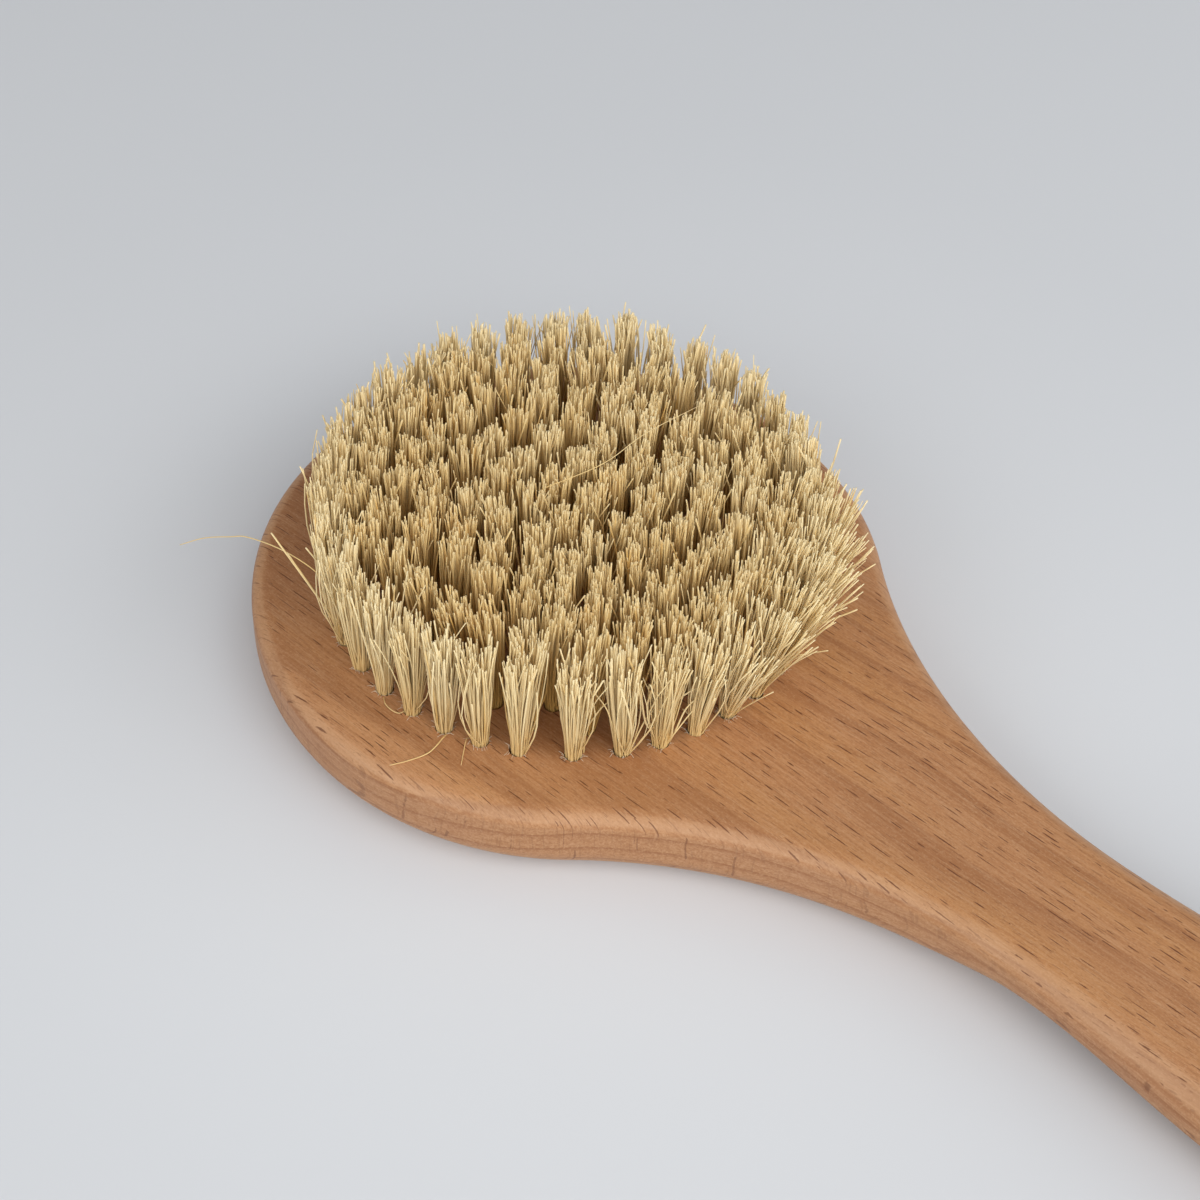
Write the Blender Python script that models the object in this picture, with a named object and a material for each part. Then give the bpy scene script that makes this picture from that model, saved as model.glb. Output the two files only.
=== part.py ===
"""Bath brush: a round-headed beech brush with a long bowed handle and staple-set plant-fibre tufts.

Metres, +Z up. The brush lies on its back: the origin is the centre of the head's flat back,
+X runs along the handle to its tail, and the tufts point up. Each row of tufts, and each
stretch of the outer ring, stands in its own slice of the head's face.
"""
import math
import random

import bmesh
import bpy
from mathutils import Vector

# The head, seen from above, is a disc
head_radius = 0.0510
head_thickness = 0.0140
head_top_rounding = 0.0034
head_top_drop = 0.0024
back_rounding = 0.0070
edge_flat = 0.0010

# The neck is a wide concave arc that meets the disc and the handle without a corner
neck_x = 0.0965
neck_half_width = 0.0135

# The neck is thinned from below, most a little past its narrowest place
neck_thinning = 0.0030
neck_thinning_from_neck = 0.0085
neck_thinning_reach = 0.0160

# The handle swells to its grip and narrows to a round tail
grip_x = 0.1500
grip_half_width = 0.0165
grip_thickness = 0.0126
grip_top_rounding = 0.0062
grip_top_drop = 0.0056
tail_half_width = 0.0150
tail_thickness = 0.0120
tail_top_rounding = 0.0050
tail_top_drop = 0.0050
handle_end_x = 0.3490

# The handle is bowed: its underside leaves the table past the head and meets it again at the tail
bow_start_from_head = 0.0090
tail_rest_length = 0.0290
bow_height = 0.0016

# The hole that the brush hangs by
hanging_hole_diameter = 0.0080
hanging_hole_from_end = 0.0150
hanging_hole_rim = 0.0010

# The tufts: an outer ring with one wider space, where its first and last tufts meet, and straight rows inside
ring_from_edge = 0.0128
ring_tufts = 39
tufts_per_arc = 3
ring_start_angle = math.radians(-44.8)
ring_seam_angle = math.radians(14.6)
first_tuft_towards_seam = math.radians(2.1)
ring_lean = 0.0060
ring_lean_angle = math.radians(12.0)
ring_lean_width = math.radians(32.0)
ring_lean_fall = 4
ring_to_rows = 0.0046
rows_each_side = 5
row_edge_share = 0.9
row_pitch = 0.0069

# One tuft: a few three-sided strands that stand together at the root and open towards the tip
strands_per_tuft = 3
strand_sides = 3
tuft_height = 0.0216
tuft_hole_diameter = 0.0031
tuft_spread_share = 0.45
tuft_lean_share = 0.03
strand_root_radius = 0.00068
strand_tip_radius = 0.00095
strand_length_spread = 0.0007
strand_root_depth = 0.0006

# The slices of the head's face that hold the tufts, and the room round them
slice_depth = 0.0020
slice_clearance = 0.0003
cut_overrun = 0.0020

# How finely curves are divided
head_steps = 34
neck_steps = 12
handle_steps = 22
tail_steps = 9
rounding_steps = 3
pocket_sides = 96
hole_sides = 32
arc_steps = 6

wood_colour = (0.42, 0.20, 0.095, 1.0)
bristle_colour = (0.50, 0.34, 0.14, 1.0)


def clear_scene():
    """Remove every object that is in the scene."""
    for item in list(bpy.data.objects):
        bpy.data.objects.remove(item, do_unlink=True)


def make_material(name, colour, roughness):
    """A plain Principled material."""
    material = bpy.data.materials.new(name)
    material.use_nodes = True
    shader = material.node_tree.nodes["Principled BSDF"]
    shader.inputs["Base Color"].default_value = colour
    shader.inputs["Roughness"].default_value = roughness
    shader.inputs["Metallic"].default_value = 0.0
    return material


def add_object(name, mesh, material):
    """Put a mesh in the scene as a named object."""
    item = bpy.data.objects.new(name, mesh)
    bpy.context.collection.objects.link(item)
    item.data.materials.append(material)
    return item


def mesh_from(name, points, faces):
    """A mesh from points and faces, with its normals pointing out."""
    shape = bmesh.new()
    corners = [shape.verts.new(point) for point in points]
    for face in faces:
        shape.faces.new([corners[index] for index in face])
    bmesh.ops.recalc_face_normals(shape, faces=shape.faces)
    mesh = bpy.data.meshes.new(name)
    shape.to_mesh(mesh)
    shape.free()
    return mesh


def add_cutter(name, points, faces):
    """A closed shape that only cuts: it isn't a piece of the brush."""
    cutter = bpy.data.objects.new(name, mesh_from(name, points, faces))
    bpy.context.collection.objects.link(cutter)
    cutter.hide_render = True
    cutter.display_type = "WIRE"
    return cutter


def boolean(item, tool, operation):
    """Add a Boolean modifier to an object."""
    modifier = item.modifiers.new(tool.name, "BOOLEAN")
    modifier.operation = operation
    modifier.solver = "EXACT"
    modifier.object = tool


def ease(value, start, end):
    """0 before start, 1 after end, and a smooth S between them."""
    share = min(max((value - start) / (end - start), 0.0), 1.0)
    return share * share * (3.0 - 2.0 * share)


def between(first, second, share):
    """The value that lies a share of the way from first to second."""
    return first + (second - first) * share


def tail_centre_x():
    """The centre of the round tail."""
    return handle_end_x - tail_half_width


def neck_arc_radius():
    """Radius of the concave arc that touches the disc and the narrowest place of the neck."""
    reach = neck_x ** 2 + neck_half_width ** 2 - head_radius ** 2
    return reach / (2.0 * (head_radius - neck_half_width))


def half_outline():
    """The plan outline for y >= 0, from the head's far edge to the tail: x, y and the outward direction."""
    arc = neck_arc_radius()
    centre_y = neck_half_width + arc
    joint_angle = math.atan2(centre_y, neck_x)
    stations = []
    for step in range(head_steps):
        angle = between(math.pi, joint_angle, step / head_steps)
        across, along = math.sin(angle), math.cos(angle)
        if step == 0:
            across = 0.0
        stations.append((head_radius * along, head_radius * across, along, across))
    for step in range(neck_steps):
        angle = between(joint_angle, math.pi / 2.0, step / neck_steps)
        along, across = math.cos(angle), math.sin(angle)
        stations.append((neck_x - arc * along, centre_y - arc * across, along, across))
    for step in range(handle_steps):
        x = between(neck_x, tail_centre_x(), step / handle_steps)
        slope = handle_slope(x)
        length = math.hypot(slope, 1.0)
        stations.append((x, handle_half_width(x), -slope / length, 1.0 / length))
    for step in range(tail_steps + 1):
        angle = between(math.pi / 2.0, 0.0, step / tail_steps)
        along, across = math.cos(angle), math.sin(angle)
        if step == tail_steps:
            across = 0.0
        stations.append((tail_centre_x() + tail_half_width * along, tail_half_width * across, along, across))
    return stations


def handle_half_width(x):
    """Half the handle's width past the neck."""
    swell = between(neck_half_width, grip_half_width, ease(x, neck_x, grip_x))
    return swell + (tail_half_width - grip_half_width) * ease(x, grip_x, tail_centre_x())


def handle_slope(x):
    """How fast the half width grows along the handle."""
    step = (grip_x - neck_x) / handle_steps / handle_steps
    return (handle_half_width(x + step) - handle_half_width(x - step)) / (2.0 * step)


def bow_start_x():
    """Where the underside leaves the table."""
    return head_radius + bow_start_from_head


def along_brush(head_value, grip_value, tail_value, x):
    """A size that changes smoothly from the head to the grip and on to the tail."""
    value = between(head_value, grip_value, ease(x, bow_start_x(), grip_x))
    return value + (tail_value - grip_value) * ease(x, grip_x, tail_centre_x())


def handle_bow(x):
    """How far the bowed handle is above the table, before the neck is thinned."""
    bow_end_x = handle_end_x - tail_rest_length
    share = min(max((x - bow_start_x()) / (bow_end_x - bow_start_x()), 0.0), 1.0)
    return bow_height * math.sin(math.pi * share) ** 2


def underside(x):
    """Height of the underside: on the table under the head and the tail, raised between them."""
    away = (x - neck_x - neck_thinning_from_neck) / neck_thinning_reach
    return handle_bow(x) + neck_thinning * math.exp(-away ** 2)


def top_side(x):
    """Height of the top face, which the thinned neck doesn't lower."""
    return handle_bow(x) + along_brush(head_thickness, grip_thickness, tail_thickness, x)


def edge_profile(x):
    """The edge's section at x, bottom to top: (inset from the widest outline, height)."""
    base = underside(x)
    top = top_side(x)
    top_rounding = along_brush(head_top_rounding, grip_top_rounding, tail_top_rounding, x)
    top_drop = along_brush(head_top_drop, grip_top_drop, tail_top_drop, x)
    low_rise = min(back_rounding, top - base - top_drop - edge_flat)
    levels = []
    for step in range(rounding_steps + 1):
        angle = math.pi / 2.0 * step / rounding_steps
        levels.append((back_rounding * (1.0 - math.sin(angle)), base + low_rise * (1.0 - math.cos(angle))))
    for step in range(rounding_steps + 1):
        angle = math.pi / 2.0 * step / rounding_steps
        height = top - top_drop * (1.0 - math.sin(angle))
        levels.append((top_rounding * (1.0 - math.cos(angle)), height))
    return levels


def brush_body_mesh():
    """The wooden body: rings of points that follow the outline, closed by strips across both faces."""
    stations = half_outline()
    levels = 2 * (rounding_steps + 1)
    last = len(stations) - 1
    points = []
    index = {}
    for place, (x, y, normal_x, normal_y) in enumerate(stations):
        for level, (inset, height) in enumerate(edge_profile(x)):
            for side in (1, -1):
                if side == -1 and place in (0, last):
                    index[place, level, side] = index[place, level, 1]
                    continue
                index[place, level, side] = len(points)
                points.append((x - normal_x * inset, side * (y - normal_y * inset), height))
    faces = []
    for place in range(last):
        for side in (1, -1):
            for level in range(levels - 1):
                corners = [index[place, level, side], index[place + 1, level, side],
                           index[place + 1, level + 1, side], index[place, level + 1, side]]
                faces.append(corners)
        for level in (0, levels - 1):
            corners = [index[place, level, 1], index[place + 1, level, 1],
                       index[place + 1, level, -1], index[place, level, -1]]
            faces.append(sorted(set(corners), key=corners.index))
    return mesh_from("brush_body", points, faces)


def turned(profile, centre, sides):
    """Points and faces of a closed turned shape: profile is (radius, height), bottom to top."""
    points = []
    for radius, height in profile:
        for side in range(sides):
            angle = 2.0 * math.pi * side / sides
            points.append((centre + radius * math.cos(angle), radius * math.sin(angle), height))
    faces = [list(range(sides)), list(range((len(profile) - 1) * sides, len(profile) * sides))]
    for ring in range(len(profile) - 1):
        for side in range(sides):
            after = (side + 1) % sides
            low, high = ring * sides, (ring + 1) * sides
            faces.append([low + side, low + after, high + after, high + side])
    return points, faces


def pocket_floor():
    """Height of the floor on which the slices lie."""
    return head_thickness - slice_depth


def ring_radius():
    """The circle on which the ring's tufts stand."""
    return head_radius - ring_from_edge


def ring_outer_radius():
    """Outer edge of the slices that hold the ring of tufts."""
    return ring_radius() + ring_to_rows / 2.0


def ring_inner_radius():
    """Inner edge of the slices that hold the ring of tufts, midway between the ring and the rows' ends."""
    return ring_radius() - ring_to_rows / 2.0


def field_radius():
    """The disc that the centres of the straight rows' tufts keep to."""
    return ring_radius() - ring_to_rows


def row_spacing():
    """From one straight row to the next: the rows share the disc, with part of a space past the last one."""
    return field_radius() / (rows_each_side + row_edge_share)


def tuft_room():
    """The least distance between the centres of two neighbouring tufts."""
    return min(row_spacing(), row_pitch, ring_to_rows)


def make_body(material):
    """The wooden body, with the pocket for the slices and the hanging hole cut."""
    body = add_object("brush_body", brush_body_mesh(), material)
    pocket_radius = ring_outer_radius() + slice_clearance
    profile = [(pocket_radius, pocket_floor()), (pocket_radius, head_thickness + cut_overrun)]
    boolean(body, add_cutter("pocket_cutter", *turned(profile, 0.0, pocket_sides)), "DIFFERENCE")
    hole_x = handle_end_x - hanging_hole_from_end
    hole = hanging_hole_diameter / 2.0
    rim = hanging_hole_rim
    low = underside(hole_x)
    high = top_side(hole_x)
    profile = [(hole + rim + cut_overrun, low - cut_overrun), (hole, low + rim),
               (hole, high - rim), (hole + rim + cut_overrun, high + cut_overrun)]
    boolean(body, add_cutter("hanging_hole_cutter", *turned(profile, hole_x, hole_sides)), "DIFFERENCE")
    return body


def slab(outline, low, high):
    """Points and faces of a flat slab over a plan outline."""
    count = len(outline)
    points = [(x, y, low) for x, y in outline] + [(x, y, high) for x, y in outline]
    faces = [list(range(count)), list(range(count, 2 * count))]
    for place in range(count):
        after = (place + 1) % count
        faces.append([place, after, count + after, count + place])
    return points, faces


def tuft_lean(x, y):
    """How far a tuft's tip is bent outwards: use has bent the ring's tufts beside the handle."""
    if math.hypot(x, y) < ring_inner_radius():
        return Vector((0.0, 0.0))
    away = (math.atan2(y, x) - ring_lean_angle) / ring_lean_width
    return Vector((x, y)).normalized() * ring_lean * math.exp(-away ** ring_lean_fall)


def tuft_strands(centres, chance):
    """Points and faces of every strand of the tufts that stand at the given centres."""
    points = []
    faces = []
    for x, y in centres:
        turn = chance.uniform(0.0, 2.0 * math.pi)
        stray = Vector((chance.uniform(-1.0, 1.0), chance.uniform(-1.0, 1.0))) * tuft_lean_share
        lean = stray * tuft_room() + tuft_lean(x, y)
        for strand in range(strands_per_tuft):
            way = turn + 2.0 * math.pi * strand / strands_per_tuft
            out = Vector((math.cos(way), math.sin(way)))
            tip_height = head_thickness + tuft_height - chance.uniform(0.0, 1.0) * strand_length_spread
            root = Vector((x, y)) + out * (tuft_hole_diameter / 2.0 - strand_root_radius)
            tip = Vector((x, y)) + out * (tuft_spread_share * tuft_room() - strand_tip_radius) + lean
            start = len(points)
            for centre, radius, height in (
                    (root, strand_root_radius, head_thickness - strand_root_depth),
                    (tip, strand_tip_radius, tip_height)):
                for corner in range(strand_sides):
                    angle = way + 2.0 * math.pi * corner / strand_sides
                    points.append((centre.x + radius * math.cos(angle),
                                   centre.y + radius * math.sin(angle), height))
            high = start + strand_sides
            faces.append([start + corner for corner in range(strand_sides)])
            faces.append([high + corner for corner in range(strand_sides)])
            for corner in range(strand_sides):
                after = (corner + 1) % strand_sides
                faces.append([start + corner, start + after, high + after, high + corner])
    return points, faces


def make_tufts(name, outline, centres, material, chance):
    """One node: a slice of the head's face with its tufts fused to it."""
    low = pocket_floor() + slice_clearance
    high = head_thickness
    item = add_object(name, mesh_from(name, *slab(outline, low, high)), material)
    strands = add_cutter(name + "_strands", *tuft_strands(centres, chance))
    boolean(item, strands, "UNION")
    return item


def row_centres(y):
    """Tuft centres of the straight row at y, evenly spaced about the middle of the head."""
    half = math.sqrt(field_radius() ** 2 - y ** 2)
    count = int(2.0 * half / row_pitch) + 1
    return [((place - (count - 1) / 2.0) * row_pitch, y) for place in range(count)]


def row_outline(row):
    """Plan outline of a row's slice: a band of the inner disc, the last row on each side out to its edge."""
    radius = ring_inner_radius() - slice_clearance
    half_band = (row_spacing() - slice_clearance) / 2.0
    middle = abs(row) * row_spacing()
    low_angle = math.asin((middle - half_band) / radius)
    high_angle = math.asin(min((middle + half_band) / radius, 1.0))
    if abs(row) == rows_each_side:
        high_angle = math.pi / 2.0
    right = []
    for step in range(arc_steps + 1):
        angle = between(low_angle, high_angle, step / arc_steps)
        right.append((radius * math.cos(angle), radius * math.sin(angle)))
    if abs(row) == rows_each_side:
        right[-1] = (0.0, radius)
        left = [(-x, y) for x, y in reversed(right[:-1])]
    else:
        left = [(-x, y) for x, y in reversed(right)]
    outline = right + left
    if row < 0:
        outline = [(x, -y) for x, y in outline]
    return outline


def ring_pitch():
    """Angle from one tuft of the ring to the next."""
    return (2.0 * math.pi - ring_seam_angle) / (ring_tufts - 1)


def ring_angles():
    """Angles of the ring's tufts: evenly spaced but for the seam and the first tuft, which is set into it."""
    angles = [ring_start_angle + ring_pitch() * place for place in range(ring_tufts)]
    angles[0] -= first_tuft_towards_seam
    return angles


def arc_outline(first, last):
    """Plan outline of one stretch of the ring, between two angles."""
    outline = []
    inner, outer = ring_inner_radius(), ring_outer_radius()
    for radius, steps in ((outer, range(arc_steps + 1)), (inner, range(arc_steps, -1, -1))):
        inset = slice_clearance / 2.0 / radius
        for step in steps:
            angle = between(first + inset, last - inset, step / arc_steps)
            outline.append((radius * math.cos(angle), radius * math.sin(angle)))
    return outline


def make_rows(material, chance):
    """The straight rows, numbered from the -Y side of the head."""
    for place, row in enumerate(range(-rows_each_side, rows_each_side + 1), start=1):
        centres = row_centres(row * row_spacing())
        make_tufts("tuft_row_%02d" % place, row_outline(row), centres, material, chance)


def make_ring(material, chance):
    """The ring in stretches of a few tufts, numbered anticlockwise from the seam."""
    angles = ring_angles()
    pitch = ring_pitch()
    for place, start in enumerate(range(0, ring_tufts, tufts_per_arc), start=1):
        held = angles[start:start + tufts_per_arc]
        first = ring_start_angle - ring_seam_angle / 2.0 if start == 0 else held[0] - pitch / 2.0
        last = held[-1] + (ring_seam_angle if held[-1] == angles[-1] else pitch) / 2.0
        centres = [(ring_radius() * math.cos(angle), ring_radius() * math.sin(angle)) for angle in held]
        make_tufts("tuft_ring_%02d" % place, arc_outline(first, last), centres, material, chance)


def build():
    """Model the whole brush."""
    clear_scene()
    wood = make_material("beech", wood_colour, 0.55)
    fibre = make_material("plant_fibre", bristle_colour, 0.60)
    chance = random.Random(7)
    make_body(wood)
    make_rows(fibre, chance)
    make_ring(fibre, chance)


build()
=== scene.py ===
# %% [markdown]
# # A bath brush: oiled beech and plant-fibre tufts
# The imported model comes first, as a fixed frame. It says where the wooden body and every row of tufts
# are, in metres, with the head's flat back on the table and the handle along +X. What is modelled
# below stands in the same places, with the detail that a photograph shows.

import math

import bmesh
import bpy
import numpy as np
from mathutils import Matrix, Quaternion, Vector


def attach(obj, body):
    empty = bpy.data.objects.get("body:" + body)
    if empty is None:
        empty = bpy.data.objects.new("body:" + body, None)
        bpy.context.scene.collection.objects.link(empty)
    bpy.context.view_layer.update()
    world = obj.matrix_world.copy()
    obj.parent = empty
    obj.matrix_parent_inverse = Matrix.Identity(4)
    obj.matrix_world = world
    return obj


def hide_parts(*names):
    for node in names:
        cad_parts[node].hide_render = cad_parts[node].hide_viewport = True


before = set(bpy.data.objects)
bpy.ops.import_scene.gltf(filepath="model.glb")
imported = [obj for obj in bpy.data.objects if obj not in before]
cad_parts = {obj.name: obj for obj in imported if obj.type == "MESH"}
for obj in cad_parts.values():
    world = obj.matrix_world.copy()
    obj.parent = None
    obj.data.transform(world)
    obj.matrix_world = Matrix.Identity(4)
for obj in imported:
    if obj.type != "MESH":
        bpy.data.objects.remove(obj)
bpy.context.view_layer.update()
mm = 0.001
print("nodes in the frame:", len(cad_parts))

# %% [markdown]
# ## The camera
# The camera looks down at the head from beside the handle, about 43 cm away, with a longer lens, so
# that the round head stays round. A camera can be aimed with a constraint, but the distance, the
# height and the turn about the target are plain numbers that a maker can read off, so it is placed
# with them. The tilt turns it a little about its own axis.

# %% Place the camera
camera_target = Vector((-0.759, 8.696, 0.0)) * mm
camera_distance = 433.23 * mm
camera_height_angle = math.radians(46.749)
camera_side_angle = math.radians(-49.686)
camera_tilt = math.radians(2.11)
camera_lens = 78.0
camera_sensor = 36.0
camera_near = 10.0 * mm
camera_far = 50000.0 * mm

level_part = math.cos(camera_height_angle)
towards_camera = Vector((
    level_part * math.cos(camera_side_angle),
    level_part * math.sin(camera_side_angle),
    math.sin(camera_height_angle),
))
camera_data = bpy.data.cameras.new("photo_camera")
camera_data.lens = camera_lens
camera_data.sensor_width = camera_sensor
camera_data.clip_start = camera_near
camera_data.clip_end = camera_far
camera = bpy.data.objects.new("photo_camera", camera_data)
bpy.context.scene.collection.objects.link(camera)
camera.rotation_mode = "QUATERNION"
camera.location = camera_target + towards_camera * camera_distance
camera.rotation_quaternion = towards_camera.to_track_quat("Z", "Y") @ Quaternion((0, 0, 1), camera_tilt)
bpy.context.scene.camera = camera
bpy.context.scene.view_settings.view_transform = "Standard"
print("camera at", [round(value, 3) for value in camera.location])

# %% [markdown]
# ## Shader maths as Python
# A procedural material is arithmetic on sockets. Wiring it node by node is slow to read, so this
# small class wraps an output socket: plus, minus, times, divide and power on it add a Math node each.
# Colours and vectors go through Mix and Vector Math nodes, because a Math node turns a colour grey.
# Those nodes have sockets for several kinds of value, so the ones that are used here have names.

# %% The socket wrapper
vector_second_socket = 1
vector_scale_socket = 3
mix_first_colour_socket = 6
mix_second_colour_socket = 7
mix_colour_output = 2


class Wire:
    """An output socket. Python's operators on it add Math nodes to its tree."""

    def __init__(self, tree, socket):
        self.tree = tree
        self.socket = socket

    @classmethod
    def add(cls, tree, kind, settings=None, sockets=None, output=0):
        """Add a node of any kind: settings first, then the values or links of its sockets."""
        node = tree.nodes.new(kind)
        for name, value in (settings or {}).items():
            if name == "stops":
                cls.set_stops(node.color_ramp, value)
            else:
                setattr(node, name, value)
        for name, value in (sockets or {}).items():
            if isinstance(value, Wire):
                tree.links.new(value.socket, node.inputs[name])
            else:
                node.inputs[name].default_value = value
        return cls(tree, node.outputs[output])

    @staticmethod
    def set_stops(ramp, stops):
        """Give a colour ramp its stops: (position, colour)."""
        while len(ramp.elements) > 1:
            ramp.elements.remove(ramp.elements[-1])
        for place, (position, colour) in enumerate(stops):
            stop = ramp.elements[0] if place == 0 else ramp.elements.new(position)
            stop.position = position
            stop.color = colour

    def math(self, operation, *others):
        sockets = dict(enumerate((self, *others)))
        return Wire.add(self.tree, "ShaderNodeMath", {"operation": operation}, sockets)

    def vector(self, operation, other):
        second = vector_scale_socket if operation == "SCALE" else vector_second_socket
        sockets = {0: self, second: other}
        return Wire.add(self.tree, "ShaderNodeVectorMath", {"operation": operation}, sockets)

    def __add__(self, other):
        return self.math("ADD", other)

    __radd__ = __add__

    def __sub__(self, other):
        return self.math("SUBTRACT", other)

    def __rsub__(self, other):
        return Wire.add(self.tree, "ShaderNodeMath", {"operation": "SUBTRACT"}, {0: other, 1: self})

    def __mul__(self, other):
        return self.math("MULTIPLY", other)

    __rmul__ = __mul__

    def __truediv__(self, other):
        return self.math("DIVIDE", other)

    def __pow__(self, other):
        return self.math("POWER", other)

    def rise(self, low, high):
        """0 below low, 1 above high, and a smooth S between them."""
        settings = {"interpolation_type": "SMOOTHSTEP"}
        return Wire.add(self.tree, "ShaderNodeMapRange", settings, {0: self, 1: low, 2: high})

    def between(self, first, second):
        """The colour that lies this share of the way from first to second."""
        settings = {"data_type": "RGBA", "clamp_factor": True}
        sockets = {0: self, mix_first_colour_socket: first, mix_second_colour_socket: second}
        return Wire.add(self.tree, "ShaderNodeMix", settings, sockets, mix_colour_output)

    def parts(self):
        """The three parts of a vector."""
        node = Wire.add(self.tree, "ShaderNodeSeparateXYZ", None, {0: self}).socket.node
        return [Wire(self.tree, socket) for socket in node.outputs]


print("socket wrapper ready")

# %% [markdown]
# Every material below starts in the same way, from the point on the piece in millimetres and from
# soft noise. Object coordinates are used, and not a map, because a solid pattern has no seams.

# %% Helpers for the materials
def new_material(name):
    """An empty Principled material: its node tree and its shader node."""
    material = bpy.data.materials.new(name)
    material.use_nodes = True
    return material, material.node_tree, material.node_tree.nodes["Principled BSDF"]


def noise(place, detail=2.0, roughness=0.5):
    """Soft noise from 0 to 1, at the scale that the place is given in."""
    sockets = {"Vector": place, "Scale": 1.0, "Detail": detail, "Roughness": roughness}
    return Wire.add(place.tree, "ShaderNodeTexNoise", None, sockets)


def object_millimetres(tree):
    """The point on the piece, in millimetres."""
    place = Wire.add(tree, "ShaderNodeTexCoord", None, None, "Object")
    return place.vector("SCALE", 1.0 / mm)


def attribute(tree, name):
    """A number that the mesh holds at each of its points."""
    return Wire.add(tree, "ShaderNodeAttribute", {"attribute_name": name}, None, "Fac")


print("material helpers ready")

# %% [markdown]
# ## The floor
# The brush lies on a pale surface. Its grey is a painted shade that darkens with the distance from the
# head, and far out it darkens more, so that it stays grey under the lamps. Faint noise moves the border
# between the two near greys. The places are in millimetres from the head.

# %% Make the floor
floor_size = 6.0
floor_pale = (0.694, 0.712, 0.737, 1.0)
floor_painted_shade = (0.645, 0.662, 0.685, 1.0)
floor_painted_far_shade = (0.420, 0.431, 0.446, 1.0)
floor_pale_end = 50.0
floor_shade_start = 150.0
floor_shade_end = 420.0
floor_far_start = 900.0
mottle_scale = 0.01
mottle_strength = 0.25
floor_roughness = 0.9
floor_reflection = 0.2


def floor_material():
    """Pale near the brush, with a painted shade further out, so that it stays grey under the lamps."""
    material, tree, shader = new_material("pale_floor")
    place = object_millimetres(tree)
    mottle = noise(place.vector("SCALE", mottle_scale), 3.0)
    away = Wire.add(tree, "ShaderNodeVectorMath", {"operation": "LENGTH"}, {0: place}, "Value")
    # Painted shade: the floor darkens with the distance from the head, and more far out.
    shade = away.rise(floor_pale_end, floor_shade_start) + (mottle - 0.5) * mottle_strength
    colour = shade.between(floor_pale, floor_painted_shade)
    colour = away.rise(floor_shade_end, floor_far_start).between(colour, floor_painted_far_shade)
    tree.links.new(colour.socket, shader.inputs["Base Color"])
    shader.inputs["Roughness"].default_value = floor_roughness
    shader.inputs["Specular IOR Level"].default_value = floor_reflection
    return material


half_floor = floor_size / 2.0
floor_mesh = bpy.data.meshes.new("floor")
floor_corners = [(-half_floor, -half_floor, 0), (half_floor, -half_floor, 0),
                 (half_floor, half_floor, 0), (-half_floor, half_floor, 0)]
floor_mesh.from_pydata(floor_corners, [], [(0, 1, 2, 3)])
floor_mesh.materials.append(floor_material())
floor = bpy.data.objects.new("floor", floor_mesh)
bpy.context.scene.collection.objects.link(floor)
print("floor", floor_size, "m wide")

# %% [markdown]
# ## The light
# The light is very soft and comes mostly from the front and the right: the shadow is softest in front
# and deepest on the left of the head. One big lamp would do for that, but it would leave the fibres'
# front sides dark, so five large weak lamps stand in a half circle, and the world gives the rest.
# Together they give about one on a level surface, so a colour renders about as it is written. The
# world is paler where the camera sees it than where it lights, so that a low view ends in pale grey.

# %% Hang the lamps
world_light = (0.312, 0.315, 0.322, 1.0)
world_seen = (0.62, 0.63, 0.65, 1.0)
picture_right = Vector((0, 0, 1)).cross(towards_camera).normalized()
picture_front = Vector((towards_camera.x, towards_camera.y, 0)).normalized()


def soft_lamp(name, right, front, up, size, power):
    """A square area lamp, placed as the camera sees it and turned to the brush's head."""
    data = bpy.data.lights.new(name, "AREA")
    data.shape = "SQUARE"
    data.size = size
    data.energy = power
    lamp = bpy.data.objects.new(name, data)
    bpy.context.scene.collection.objects.link(lamp)
    lamp.location = picture_right * right + picture_front * front + Vector((0, 0, up))
    lamp.rotation_mode = "QUATERNION"
    lamp.rotation_quaternion = lamp.location.to_track_quat("Z", "Y")


soft_lamp("lamp_front", right=0.00, front=1.10, up=0.45, size=1.2, power=5.5)
soft_lamp("lamp_right", right=0.75, front=0.60, up=0.60, size=0.8, power=4.1)
soft_lamp("lamp_left", right=-0.75, front=0.60, up=0.60, size=0.8, power=3.6)
soft_lamp("lamp_side", right=1.05, front=-0.05, up=0.50, size=0.9, power=3.2)
soft_lamp("lamp_high", right=0.30, front=0.55, up=0.95, size=0.9, power=3.2)

world = bpy.data.worlds.new("studio_light")
world.use_nodes = True
world_nodes = world.node_tree
background = world_nodes.nodes["Background"]
light_path = Wire.add(world_nodes, "ShaderNodeLightPath", None, None, "Is Camera Ray")
world_colour = light_path.between(world_light, world_seen)
world_nodes.links.new(world_colour.socket, background.inputs["Color"])
bpy.context.scene.world = world
print("lamps:", [lamp.name for lamp in bpy.data.lights])

# %% [markdown]
# ## The shape of the wooden body
# Head, neck and handle are cut from one board. Seen from above, the outline is a disc, a wide concave
# arc that touches the disc and the neck, a handle that swells to its grip, and a round tail. It could
# be drawn as a curve and bevelled, but the edge's roundings change along the brush, so the body is
# built from stations along the outline, and each station carries its own section of the edge. The
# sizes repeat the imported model's, and each curve is divided more finely.

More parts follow.
